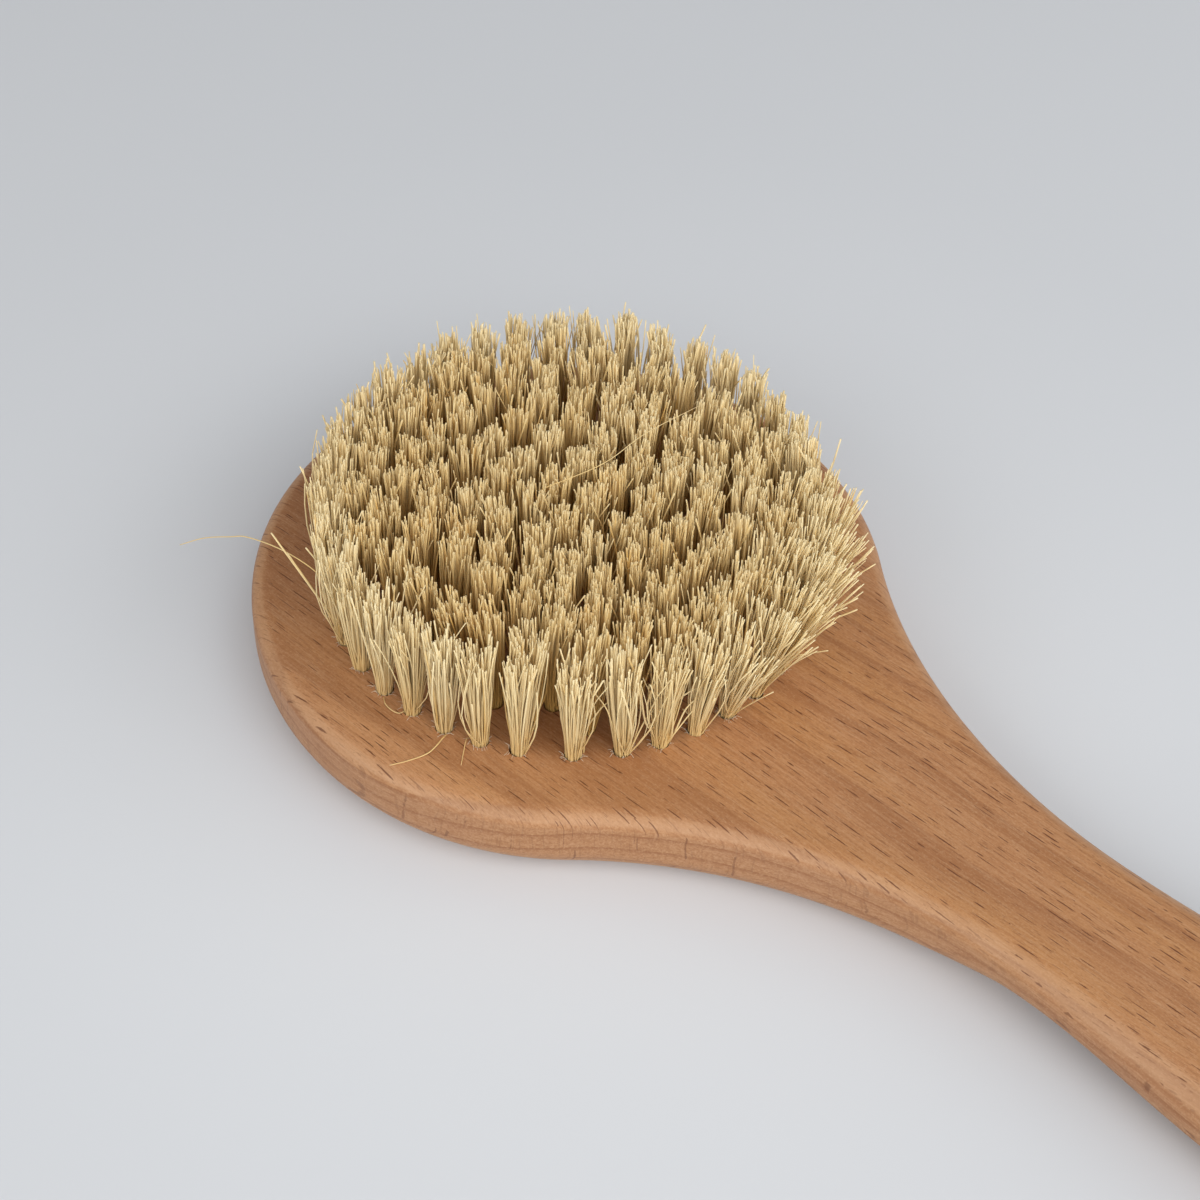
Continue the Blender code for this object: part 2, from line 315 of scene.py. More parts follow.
# %% Sizes of the body
head_radius = 51.0 * mm
head_thickness = 14.0 * mm
head_top_rounding = 3.4 * mm
head_top_drop = 2.4 * mm
back_rounding = 7.0 * mm
edge_flat = 1.0 * mm
neck_x = 96.5 * mm
neck_half_width = 13.5 * mm
neck_thinning = 3.0 * mm
neck_thinning_x = neck_x + 8.5 * mm
neck_thinning_reach = 16.0 * mm
grip_x = 150.0 * mm
grip_half_width = 16.5 * mm
grip_thickness = 12.6 * mm
grip_top_rounding = 6.2 * mm
grip_top_drop = 5.6 * mm
tail_half_width = 15.0 * mm
tail_thickness = 12.0 * mm
tail_top_rounding = 5.0 * mm
tail_top_drop = 5.0 * mm
handle_end_x = 349.0 * mm
tail_centre_x = handle_end_x - tail_half_width
bow_start_x = head_radius + 9.0 * mm
bow_end_x = handle_end_x - 29.0 * mm
bow_height = 1.6 * mm
hole_x = handle_end_x - 15.0 * mm
hole_radius = 4.0 * mm
hole_rim = 1.0 * mm
print("head", 2 * head_radius, "m across, whole brush", head_radius + handle_end_x, "m long")

# %% [markdown]
# A maker draws such a brush as a few flowing lines: how wide, how thick and how high above the table
# it is at each place along the handle. Each line is a function of x here, with smooth changes between
# the sizes above, because straight ramps would show as creases in the reflections.

# %% Curves of the body
def ease(value, start, end):
    """0 before start, 1 after end, and a smooth S between them."""
    share = min(max((value - start) / (end - start), 0.0), 1.0)
    return share * share * (3.0 - 2.0 * share)


def mix(first, second, share):
    return first + (second - first) * share


def handle_half_width(x):
    swell = mix(neck_half_width, grip_half_width, ease(x, neck_x, grip_x))
    return swell + (tail_half_width - grip_half_width) * ease(x, grip_x, tail_centre_x)


def along_brush(head_value, grip_value, tail_value, x):
    """A size that changes smoothly from the head to the grip and on to the tail."""
    value = mix(head_value, grip_value, ease(x, bow_start_x, grip_x))
    return value + (tail_value - grip_value) * ease(x, grip_x, tail_centre_x)


def handle_bow(x):
    """The handle is bowed a little: its height above the table between the head and the tail."""
    share = min(max((x - bow_start_x) / (bow_end_x - bow_start_x), 0.0), 1.0)
    return bow_height * math.sin(math.pi * share) ** 2


def underside(x):
    """Height of the underside, which is cut away a little under the neck."""
    away = (x - neck_thinning_x) / neck_thinning_reach
    return handle_bow(x) + neck_thinning * math.exp(-away ** 2)


def top_side(x):
    """Height of the top face."""
    return handle_bow(x) + along_brush(head_thickness, grip_thickness, tail_thickness, x)


print("thickness at the neck:", round(top_side(neck_x) - underside(neck_x), 4), "m")

# %% [markdown]
# The outline is walked once, for the half with y above zero: round the head, along the concave arc,
# along the handle and round the tail. Each station also keeps its outward direction, so that the
# edge's section can be laid square to the outline. The other half mirrors this one.

# %% Walk the outline
slope_step = 0.5 * mm


def half_outline(head_steps, neck_steps, handle_steps, tail_steps):
    """The outline for y >= 0, from the head's far edge to the tail: x, y and the outward direction."""
    arc = (neck_x ** 2 + neck_half_width ** 2 - head_radius ** 2) / (2.0 * (head_radius - neck_half_width))
    centre_y = neck_half_width + arc
    joint_angle = math.atan2(centre_y, neck_x)
    stations = []
    for step in range(head_steps):
        angle = mix(math.pi, joint_angle, step / head_steps)
        along, across = math.cos(angle), math.sin(angle) if step else 0.0
        stations.append((head_radius * along, head_radius * across, along, across))
    for step in range(neck_steps):
        angle = mix(joint_angle, math.pi / 2.0, step / neck_steps)
        along, across = math.cos(angle), math.sin(angle)
        stations.append((neck_x - arc * along, centre_y - arc * across, along, across))
    for step in range(handle_steps):
        x = mix(neck_x, tail_centre_x, step / handle_steps)
        slope = (handle_half_width(x + slope_step) - handle_half_width(x - slope_step)) / (2.0 * slope_step)
        length = math.hypot(slope, 1.0)
        stations.append((x, handle_half_width(x), -slope / length, 1.0 / length))
    for step in range(tail_steps + 1):
        angle = mix(math.pi / 2.0, 0.0, step / tail_steps)
        along, across = math.cos(angle), math.sin(angle) if step < tail_steps else 0.0
        stations.append((tail_centre_x + tail_half_width * along, tail_half_width * across, along, across))
    return stations


stations = half_outline(head_steps=150, neck_steps=60, handle_steps=150, tail_steps=36)
print("stations along half the outline:", len(stations))

# %% [markdown]
# The section of the edge is a quarter round below, a short flat and a quarter round above. A Bevel
# modifier gives one radius all round, but this edge is softer at the back than at the top, and softer
# at the grip than at the head.

# %% Section of the edge
rounding_steps = 10
support_inset = 0.5 * mm


def edge_profile(x):
    """The edge's section, bottom to top: inset from the outline, height, and how far it faces up or down."""
    base = underside(x)
    top = top_side(x)
    top_inset = along_brush(head_top_rounding, grip_top_rounding, tail_top_rounding, x)
    top_drop = along_brush(head_top_drop, grip_top_drop, tail_top_drop, x)
    low_rise = min(back_rounding, top - base - top_drop - edge_flat)
    levels = [(back_rounding + support_inset, base, 1.0)]
    for step in range(rounding_steps + 1):
        angle = math.pi / 2.0 * step / rounding_steps
        height = base + low_rise * (1.0 - math.cos(angle))
        levels.append((back_rounding * (1.0 - math.sin(angle)), height, math.cos(angle)))
    for step in range(rounding_steps + 1):
        angle = math.pi / 2.0 * step / rounding_steps
        height = top - top_drop * (1.0 - math.sin(angle))
        levels.append((top_inset * (1.0 - math.cos(angle)), height, math.sin(angle)))
    levels.append((top_inset + support_inset, top, 1.0))
    return levels


print("levels round the edge:", len(edge_profile(0.0)))

# %% [markdown]
# The stations' points are joined into the edge, and strips from the left half to the right half close
# both faces. Two numbers go with each point for the material: how level the surface is, and how much
# end grain it shows, which is most where the edge faces along the handle.

# %% Build the body's mesh
def body_mesh():
    levels = len(edge_profile(0.0))
    last = len(stations) - 1
    points = []
    facing = []
    end_grain = []
    index = {}
    for place, (x, y, along, across) in enumerate(stations):
        for level, (inset, height, level_share) in enumerate(edge_profile(x)):
            for side in (1, -1):
                if side == -1 and place in (0, last):
                    index[place, level, side] = index[place, level, 1]
                    continue
                index[place, level, side] = len(points)
                points.append((x - along * inset, side * (y - across * inset), height))
                facing.append(level_share)
                end_grain.append(abs(along) * math.sqrt(max(1.0 - level_share ** 2, 0.0)))
    faces = []
    for place in range(last):
        for side in (1, -1):
            for level in range(levels - 1):
                faces.append([index[place, level, side], index[place + 1, level, side],
                              index[place + 1, level + 1, side], index[place, level + 1, side]])
        for level in (0, levels - 1):
            corners = [index[place, level, 1], index[place + 1, level, 1],
                       index[place + 1, level, -1], index[place, level, -1]]
            faces.append(sorted(set(corners), key=corners.index))
    mesh = bpy.data.meshes.new("brush_body")
    mesh.from_pydata(points, [], faces)
    mesh.attributes.new("facing", "FLOAT", "POINT").data.foreach_set("value", facing)
    mesh.attributes.new("end_grain", "FLOAT", "POINT").data.foreach_set("value", end_grain)
    shape = bmesh.new()
    shape.from_mesh(mesh)
    bmesh.ops.recalc_face_normals(shape, faces=shape.faces)
    shape.to_mesh(mesh)
    shape.free()
    return mesh


body = bpy.data.objects.new("beech_body", body_mesh())
bpy.context.scene.collection.objects.link(body)
print("body points before drilling:", len(body.data.vertices))

# %% [markdown]
# ## Where the tufts stand
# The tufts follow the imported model: an outer ring with one wider space where the drilling machine
# began and ended, and straight rows inside it that run along the handle. Their places are worked out
# from the head's size and the drilling's steps, and kept by the name of the node that they replace.

# %% Places of the tufts
ring_radius = head_radius - 12.8 * mm
ring_to_rows = 4.6 * mm
field_radius = ring_radius - ring_to_rows
ring_tufts = 39
tufts_per_arc = 3
ring_start_angle = math.radians(-44.8)
ring_seam_angle = math.radians(14.6)
first_tuft_towards_seam = math.radians(2.1)
rows_each_side = 5
free_border_share = 0.9
row_spacing = field_radius / (rows_each_side + free_border_share)
row_pitch = 6.9 * mm

ring_pitch = (2.0 * math.pi - ring_seam_angle) / (ring_tufts - 1)
ring_angles = [ring_start_angle + ring_pitch * place for place in range(ring_tufts)]
ring_angles[0] -= first_tuft_towards_seam
ring_centres = [(ring_radius * math.cos(angle), ring_radius * math.sin(angle)) for angle in ring_angles]

tuft_groups = {}
for number, row in enumerate(range(-rows_each_side, rows_each_side + 1), start=1):
    y = row * row_spacing
    half = math.sqrt(field_radius ** 2 - y ** 2)
    count = int(2.0 * half / row_pitch) + 1
    centres = [((place - (count - 1) / 2.0) * row_pitch, y) for place in range(count)]
    tuft_groups["tuft_row_%02d" % number] = centres
for number, start in enumerate(range(0, ring_tufts, tufts_per_arc), start=1):
    tuft_groups["tuft_ring_%02d" % number] = ring_centres[start:start + tufts_per_arc]
tuft_centres = [centre for centres in tuft_groups.values() for centre in centres]
print("groups:", len(tuft_groups), "tufts:", len(tuft_centres))

# %% [markdown]
# ## Drilling the holes
# Each tuft sits in its own blind hole. The drill leaves a cylinder with a slightly broken rim and a
# conical floor. A Boolean for each of the 135 holes would be slow, so one mesh holds all the drills,
# and one Boolean takes them out of the head.

# %% Cut the blind holes
drill_radius = 1.42 * mm
drill_depth = 3.4 * mm
drill_rim = 0.05 * mm
drill_point_radius = 0.3 * mm
drill_point_depth = 0.9 * mm
drill_sides = 20


def turned_shapes(name, centres, profile, sides):
    """A mesh of closed turned shapes, one at each centre: profile is (radius, height), bottom to top."""
    points = []
    faces = []
    for centre_x, centre_y in centres:
        start = len(points)
        for radius, height in profile:
            for side in range(sides):
                angle = 2.0 * math.pi * side / sides
                along, across = radius * math.cos(angle), radius * math.sin(angle)
                points.append((centre_x + along, centre_y + across, height))
        faces.append([start + side for side in reversed(range(sides))])
        top = start + (len(profile) - 1) * sides
        faces.append([top + side for side in range(sides)])
        for ring in range(len(profile) - 1):
            for side in range(sides):
                after = (side + 1) % sides
                low = start + ring * sides
                faces.append([low + side, low + after, low + sides + after, low + sides + side])
    mesh = bpy.data.meshes.new(name)
    mesh.from_pydata(points, [], faces)
    return bpy.data.objects.new(name, mesh)


def cut(item, cutter):
    """Take the cutter out of the piece, and delete the cutter."""
    bpy.context.scene.collection.objects.link(cutter)
    modifier = item.modifiers.new("cut", "BOOLEAN")
    modifier.operation = "DIFFERENCE"
    modifier.solver = "EXACT"
    modifier.object = cutter
    graph = bpy.context.evaluated_depsgraph_get()
    mesh = bpy.data.meshes.new_from_object(item.evaluated_get(graph))
    item.modifiers.clear()
    item.data = mesh
    bpy.data.objects.remove(cutter)


drill_profile = [
    (drill_point_radius, head_thickness - drill_depth - drill_point_depth),
    (drill_radius, head_thickness - drill_depth),
    (drill_radius, head_thickness - drill_rim),
    (drill_radius + 2.0 * drill_rim, head_thickness + drill_rim),
]
cut(body, turned_shapes("drills", tuft_centres, drill_profile, drill_sides))
print("body faces with the blind holes:", len(body.data.polygons))

# %% [markdown]
# The hanging hole near the handle's end is cut by a turned shape too. It has quarter rounds where it
# meets both faces, because a sharp rim there would wear a cord.

# %% Cut the hanging hole
hanging_hole_sides = 48
hole_low = underside(hole_x)
hole_high = top_side(hole_x)
rim_steps = 5
lower_rim = []
upper_rim = []
for step in range(rim_steps + 1):
    angle = math.pi / 2.0 * step / rim_steps
    widening = hole_rim * (1.0 - math.sin(angle))
    rise_of_rim = hole_rim * (1.0 - math.cos(angle))
    lower_rim.append((hole_radius + widening, hole_low + rise_of_rim))
    upper_rim.insert(0, (hole_radius + widening, hole_high - rise_of_rim))
outside = hole_radius + hole_rim
hole_profile = [(outside, hole_low - mm)] + lower_rim + upper_rim + [(outside, hole_high + mm)]
cut(body, turned_shapes("hanging_hole_drill", [(hole_x, 0.0)], hole_profile, hanging_hole_sides))
print("body faces with the hanging hole:", len(body.data.polygons))

# %% [markdown]
# The drills' own points hold neither of the two numbers for the material, so both are set again near
# the holes. Then the body is shaded smooth, but for the rims.

# %% Mend the numbers and shade the body
drilled_reach = ring_radius + 3.0 * mm
hanging_hole_reach = outside + 0.1 * mm
sharp_angle = math.radians(32.0)

facing_values = body.data.attributes["facing"].data
end_grain_values = body.data.attributes["end_grain"].data
for vertex, facing_value, end_grain_value in zip(body.data.vertices, facing_values, end_grain_values):
    x, y, _ = vertex.co
    if math.hypot(x, y) < drilled_reach:
        facing_value.value = 1.0
        end_grain_value.value = 0.0
    elif math.hypot(x - hole_x, y) < hanging_hole_reach:
        facing_value.value = abs(vertex.normal.z)
        end_grain_value.value = 0.0
body.data.name = "brush_body"
body.data.polygons.foreach_set("use_smooth", [True] * len(body.data.polygons))
body.data.set_sharp_from_angle(angle=sharp_angle)
print("body points:", len(body.data.vertices))

# %% [markdown]
# ## Beech
# Beech is a pinkish tan wood. Four things make it beech and not just brown: growth layers, which show
# as broad soft bands on the flat face and as thin lines along the edge; rays, which show as short dark
# dashes along the grain on top and as upright flakes on the sides; very fine pores; and a soft streak
# along the grain. All of them are one solid pattern in the board, so the material works on the
# point in space, in millimetres, and the edge shows what a saw would have laid open there. The
# board is paler on one side of the head. Light and shade are painted in too: a painted shade on the
# head's far end and on the edge's sides, and a painted highlight along the edge's rounding. An image
# texture would have to be wrapped round the edge and would show seams.

# %% Colours and sizes of the beech
beech_early = (0.450, 0.213, 0.091, 1.0)
beech_late_wood_and_shade = (0.296, 0.118, 0.043, 1.0)
beech_golden = (0.471, 0.223, 0.084, 1.0)
beech_paler_patch = (0.610, 0.312, 0.142, 1.0)
beech_pale_and_highlight = (0.560, 0.335, 0.184, 1.0)
beech_side_painted_shade = (0.360, 0.192, 0.105, 1.0)
beech_ray = (0.158, 0.054, 0.020, 1.0)
pith_y = -30.0
pith_z = -64.0
layer_thickness = 3.3
grain_drift_across = 5.0
grain_drift_up = 6.0
ray_cell = (5.2, 1.40, 5.5)
small_ray_cell = (2.2, 0.55, 3.0)
paler_patch_across = (-20.0, -42.0)
paler_patch_along = (-24.0, -6.0)
far_end_painted_shade_along = (-17.0, -36.0)
print("growth layers are", layer_thickness, "mm thick round a pith", -pith_z, "mm below the table")

# %% [markdown]
# Rays are the marks that a maker knows beech by. A noise texture gives blots, not dashes, so they come
# from a Voronoi texture: it gives every cell one point, and a dash is drawn about that point, or left
# out. Its colour output gives three random numbers to each cell, for the dash's width, length and
# strength.

# %% Draw the rays
least_length_share = 0.45
length_share_range = 1.1
least_width_share = 0.65
width_share_range = 0.7
raggedness = 0.9


def stretched(place, factors):
    """The place with its three axes scaled, for patterns that are longer than they are wide."""
    return place.vector("MULTIPLY", factors)


def ray_mask(place, cell, half_length, half_width, seed):
    """Short lens-shaped dashes along X, one or none in each cell of the given size."""
    cells = stretched(place, tuple(1.0 / size for size in cell)).vector("ADD", (seed, seed, seed))
    voronoi = Wire.add(place.tree, "ShaderNodeTexVoronoi", None, {"Vector": cells, "Scale": 1.0}, "Position")
    chance = Wire(place.tree, voronoi.socket.node.outputs["Color"])
    offset = stretched(cells.vector("SUBTRACT", voronoi), cell)
    along, across, _ = offset.parts()
    width_lot, length_lot, strength_lot = chance.parts()
    length = (length_lot * length_share_range + least_length_share) * half_length
    width = (width_lot * width_share_range + least_width_share) * half_width
    ragged = noise(stretched(place, (1.6, 6.0, 2.0)), 2.0) - 0.5
    reach = ((along / length) ** 2.0 + (across / width) ** 2.0) ** 0.5 + ragged * raggedness
    return (1.0 - reach.rise(0.55, 1.0)) * strength_lot.rise(0.15, 0.65)


def wandering_grain(place):
    """The place as the tree grew it: the grain drifts sideways and up and down along the board."""
    drift = noise(stretched(place, (0.011, 0.045, 0.045)), 2.0) - 0.5
    drifts = {"Y": drift * grain_drift_across, "Z": drift * grain_drift_up}
    return place.vector("ADD", Wire.add(place.tree, "ShaderNodeCombineXYZ", None, drifts))


print("ray cells in mm:", ray_cell, "and", small_ray_cell)

# %% [markdown]
# The colour is laid on as a finisher would, in thin coats over a tan ground. Each coat is a pattern, a
# strength and a colour, so the look is tuned in one table. Three of the coats are painted light: a
# painted shade on the edge's sides, a painted shade on the head's far end and a painted highlight on
# the edge's rounding.

# %% Mix the colour of the beech
def beech_colour(place, grain, streak, pores, rays):
    """The wood's colour: a tan ground, and then one coat after another where its pattern shows."""
    along, across, up = grain.parts()
    facing = attribute(place.tree, "facing")
    end_grain = attribute(place.tree, "end_grain")
    year = (((across - pith_y) ** 2.0 + (up - pith_z) ** 2.0) ** 0.5 / layer_thickness).math("FRACT")
    late = year.rise(0.60, 0.93) * (1.0 - year.rise(0.93, 0.99))
    edge_line = year.rise(0.80, 0.93) * (1.0 - year.rise(0.96, 1.0)) * (1.0 - facing)
    # Painted highlight: a pale band where the edge's rounding turns towards the light.
    painted_edge_highlight = facing.rise(0.34, 0.52) * (1.0 - facing.rise(0.84, 0.95))
    # The level face is paler on the head's -Y side.
    paler_patch = across.rise(*paler_patch_across) * along.rise(*paler_patch_along) * facing
    # Painted shade: the level face at the head's far end, where the tufts shade it, is darker.
    far_end_painted_shade = along.rise(*far_end_painted_shade_along) * facing.rise(0.80, 1.0)
    broad = noise(stretched(place, (0.018, 0.09, 0.09)), 2.0)
    speckle = noise(stretched(place, (2.4, 3.6, 2.4)), 3.0, 0.65)
    lines = noise(stretched(grain, (0.014, 1.0, 1.0)), 3.0, 0.55)
    small_rays = ray_mask(grain, small_ray_cell, half_length=0.8, half_width=0.075, seed=3.7)
    flat_share = facing * 0.45 + 0.55

    # Each coat: where it shows, how strongly, and its colour.
    coats = [
        (paler_patch, 0.48, beech_paler_patch),
        (far_end_painted_shade, 0.60, beech_late_wood_and_shade),
        # Painted shade: the sides and the underside of the edge are darker than the level face.
        (1.0 - facing, 0.42, beech_side_painted_shade),
        (late, 0.60, beech_late_wood_and_shade),
        (edge_line, 0.68, beech_late_wood_and_shade),
        (lines.rise(0.52, 0.70), 0.42, beech_late_wood_and_shade),
        (streak.rise(0.46, 0.72), 0.36, beech_late_wood_and_shade),
        (streak.rise(0.55, 0.28), 0.34, beech_pale_and_highlight),
        (pores.rise(0.50, 0.72), 0.42, beech_late_wood_and_shade),
        (speckle.rise(0.50, 0.72), end_grain * 0.30 + 0.30, beech_late_wood_and_shade),
        (speckle.rise(0.50, 0.30), 0.34, beech_pale_and_highlight),
        # Painted highlight on the edge's rounding.
        (painted_edge_highlight, 0.30, beech_pale_and_highlight),
        (small_rays * flat_share, 0.36, beech_ray),
        (rays, flat_share, beech_ray),
    ]
    colour = broad.rise(0.35, 0.65).between(beech_early, beech_golden)
    for pattern, strength, coat in coats:
        colour = (pattern * strength).between(colour, coat)
    return colour


print("the sapwood starts", -paler_patch_across[0], "mm from the head's middle")

# %% [markdown]
# Oil leaves the wood with a soft sheen, a little duller in the pores. The pores and rays are also
# faint dents, which a Bump node gives, since they are far finer than the body's mesh.

# %% Make the beech material
beech_roughness = 0.38
beech_reflection = 0.42
beech_relief = {"Strength": 0.35, "Distance": 0.06 * mm}


def beech_material():
    """Oiled beech as one solid pattern."""
    material, tree, shader = new_material("oiled_beech")
    place = object_millimetres(tree)
    grain = wandering_grain(place)
    streak = noise(stretched(grain, (0.10, 2.6, 2.6)), 4.0, 0.6)
    pores = noise(stretched(grain, (0.9, 8.0, 8.0)), 2.0, 0.6)
    rays = ray_mask(grain, ray_cell, half_length=1.8, half_width=0.112, seed=0.0)
    colour = beech_colour(place, grain, streak, pores, rays)
    tree.links.new(colour.socket, shader.inputs["Base Color"])
    roughness = streak * 0.12 + pores * 0.10 + beech_roughness
    tree.links.new(roughness.socket, shader.inputs["Roughness"])
    shader.inputs["Specular IOR Level"].default_value = beech_reflection
    relief = streak * 0.35 - pores * 0.5 - rays * 0.8
    bump = Wire.add(tree, "ShaderNodeBump", None, {**beech_relief, "Height": relief}, "Normal")
    tree.links.new(bump.socket, shader.inputs["Normal"])
    return material


beech = beech_material()
body.data.materials.clear()
body.data.materials.append(beech)
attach(body, "root")
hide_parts("brush_body")
print("beech nodes:", len(beech.node_tree.nodes))

# %% [markdown]
# ## Plant fibre
# The bristle is a stiff plant fibre, pale straw where the light falls on it and golden brown where the
# tuft shades itself. No two fibres have quite the same colour. Each is painted darker and more golden
# where it comes out of the wood, as painted shade, and it is paler at its cut end. The mesh gives every
# point two numbers for this, the fibre's tone, which holds painted light and shade too, and the share of
# the way to its tip.

# %% Make the fibre material
fibre_tones = [
    (0.00, (0.550, 0.310, 0.085, 1.0)),
    (0.25, (0.715, 0.455, 0.150, 1.0)),
    (0.60, (0.790, 0.590, 0.276, 1.0)),
    (1.00, (0.890, 0.732, 0.428, 1.0)),
]
fibre_foot_painted_shade = (0.700, 0.440, 0.120, 1.0)
fibre_cut = (0.900, 0.800, 0.560, 1.0)
fibre_foot_shade_strength = 0.50
fibre_cut_strength = 0.22
fibre_streak_change = 0.13
fibre_roughness = 0.42
fibre_reflection = 0.22
fibre_relief = {"Strength": 0.4, "Distance": 0.03 * mm}


def fibre_material():
    """Dry plant fibre, coloured by the two numbers of its mesh."""
    material, tree, shader = new_material("straw_fibre")
    place = object_millimetres(tree)
    tone = attribute(tree, "tone")
    reach = attribute(tree, "reach")
    streak = noise(stretched(place, (5.0, 5.0, 0.5)), 3.0, 0.6)
    level = tone + (streak - 0.5) * fibre_streak_change
    colour = Wire.add(tree, "ShaderNodeValToRGB", {"stops": fibre_tones}, {0: level})
    # Painted shade: darker and more golden towards the fibre's foot.
    colour = ((1.0 - reach.rise(-0.05, 0.60)) * fibre_foot_shade_strength).between(colour, fibre_foot_painted_shade)
    colour = (reach.rise(0.95, 1.0) * fibre_cut_strength).between(colour, fibre_cut)
    tree.links.new(colour.socket, shader.inputs["Base Color"])
    roughness = streak * 0.2 + fibre_roughness
    tree.links.new(roughness.socket, shader.inputs["Roughness"])
    shader.inputs["Specular IOR Level"].default_value = fibre_reflection
    bump = Wire.add(tree, "ShaderNodeBump", None, {**fibre_relief, "Height": streak}, "Normal")
    tree.links.new(bump.socket, shader.inputs["Normal"])
    return material


fibre = fibre_material()
print("fibre nodes:", len(fibre.node_tree.nodes))

# %% [markdown]
# ## The tufts
# A tuft is a bundle of fibres, folded over a wire in the hole, so that both halves stand up. It comes
# out of the wood as tight as the hole and opens like a vase; the tips cling together in small
# bunches with dark gaps between them. Hair particles would draw faster, but they are not a mesh, so
# every fibre here is a thin four-sided rod of its own, with its own width, height, bend and tone. Use
# has bent the ring's tufts beside the handle outwards, and the ends of the rows next to them lean
# a little too.

# %% Sizes of a tuft
tuft_height = 21.6 * mm
fibres_per_tuft = 100
fibre_radius = 0.137 * mm
fibre_sides = 4
fibre_levels = np.array([-0.11, 0.0, 0.17, 0.36, 0.56, 0.78, 1.0])
bundle_radius = 1.22 * mm
ring_tip_radius = 3.20 * mm
far_tip_share = 0.76
row_tip_radius = 2.65 * mm
border_tip_share = 1.20
narrowing_start_y = -15.0 * mm
narrowing_end_y = 20.0 * mm
ring_lean = 6.0 * mm
ring_lean_angle = math.radians(12.0)
ring_lean_width = math.radians(32.0)
ring_lean_start = ring_radius - 9.0 * mm
ring_lean_full = ring_radius - 1.0 * mm


def tuft_lean(x, y):
    """How far a tuft's tips are bent outwards: most in the ring beside the handle."""
    distance = math.hypot(x, y)
    away = (math.atan2(y, x) - ring_lean_angle) / ring_lean_width
    inner = ease(distance, ring_lean_start, ring_lean_full)
    return np.array([x, y]) / max(distance, mm) * ring_lean * math.exp(-away ** 4) * inner


class Tuft:
    """What a tuft's place decides: how wide it opens, and which way and how far it leans."""

    def __init__(self, centre):
        x, y = centre
        distance = math.hypot(x, y)
        self.centre = np.array(centre)
        self.outward = self.centre / max(distance, mm)
        self.in_ring = distance > ring_radius - mm
        self.from_middle = min(distance / field_radius, 1.0) ** 2
        self.tip_radius = row_tip_radius * mix(1.0, border_tip_share, self.from_middle)
        if self.in_ring:
            narrowing = ease(y, narrowing_start_y, narrowing_end_y)
            self.tip_radius = ring_tip_radius * mix(1.0, far_tip_share, narrowing)
        self.lean = tuft_lean(x, y)
        self.lean_share = np.linalg.norm(self.lean) / ring_lean


print("fibres in all:", fibres_per_tuft * len(tuft_centres), "of", len(fibre_levels), "levels each")

# %% [markdown]
# One tuft is worked out as arrays, with a row for each fibre. The feet of its fibres fill the hole as
# the seeds fill a sunflower, and the tips are the same picture made larger, drawn together into
# bunches. A plain random scatter would leave holes and clumps at the foot, where a real tuft is tight.

# %% Place the feet and the tips
bunches_per_tuft = 6
bunch_pull = 0.42
least_opening = 0.88
most_opening = 1.10
foot_scatter = 0.06 * mm
bundle_scatter = 0.07 * mm
bunch_scatter = 0.35 * mm
tip_scatter = 0.22 * mm


def spiral(count, radius):
    """Points spread evenly over a disc, as the seeds of a sunflower are."""
    places = np.arange(count)
    distances = radius * np.sqrt((places + 0.5) / count)
    angles = places * math.pi * (3.0 - math.sqrt(5.0))
    return np.stack([distances * np.cos(angles), distances * np.sin(angles)], axis=1)


def turned_by(points, angle):
    """Points turned about the origin."""
    spin = np.array([[math.cos(angle), math.sin(angle)], [-math.sin(angle), math.cos(angle)]])
    return points @ spin


def fibre_feet(chance):
    """Where the fibres come out of the hole, measured from its middle."""
    feet = turned_by(spiral(fibres_per_tuft, bundle_radius), chance.uniform(0.0, 2.0 * math.pi))
    return feet + chance.normal(0.0, foot_scatter, feet.shape) + chance.normal(0.0, bundle_scatter, 2)


def gathered_tips(feet, from_centre, tip_radius, chance):
    """Where the tips of a tuft that stands alone would be, and the bunch that each one clings to."""
    opening = tip_radius / bundle_radius * chance.uniform(least_opening, most_opening)
    tips = feet * opening * np.clip(from_centre, 0.2, 1.3) ** 0.25
    bunches = turned_by(spiral(bunches_per_tuft, tip_radius), chance.uniform(0.0, 2.0 * math.pi))
    bunches = bunches + chance.normal(0.0, bunch_scatter, bunches.shape)
    bunch = np.argmin(np.linalg.norm(tips[:, None] - bunches[None], axis=2), axis=1)
    tips = tips + (bunches[bunch] - tips) * bunch_pull
    return tips + chance.normal(0.0, tip_scatter, tips.shape), bunch


print("bunches in a tuft:", bunches_per_tuft)

# %% [markdown]
# Tufts that stand close press on each other. The ring's tufts are pushed outwards, but on that side
# they open less than towards the rows, where their tips close the gap. The tufts of the rows spread
# to where there is room. A hair simulation could find this too, but a sum over the neighbours gives
# much the same picture at once.

# %% Press the tufts on each other
ring_push = 1.0 * mm
ring_depth_share = 0.72
ring_inward_gain = 0.25
room_reach = 9.5 * mm
room_gain = 7.0 * mm * mm
least_lean_share = -0.05
most_lean_share = 1.30
mean_lean_share = 0.64
outer_lean_share = 0.60
lean_scatter_share = 0.18


def tuft_room(x, y):
    """Which way a tuft's tips spread, because its neighbours press on it from one side only."""
    away = np.array([x, y]) - np.array(tuft_centres)
    distance = np.linalg.norm(away, axis=1)
    near = (distance > mm) & (distance < room_reach)
    return room_gain * (away[near] / distance[near, None] ** 2).sum(axis=0)


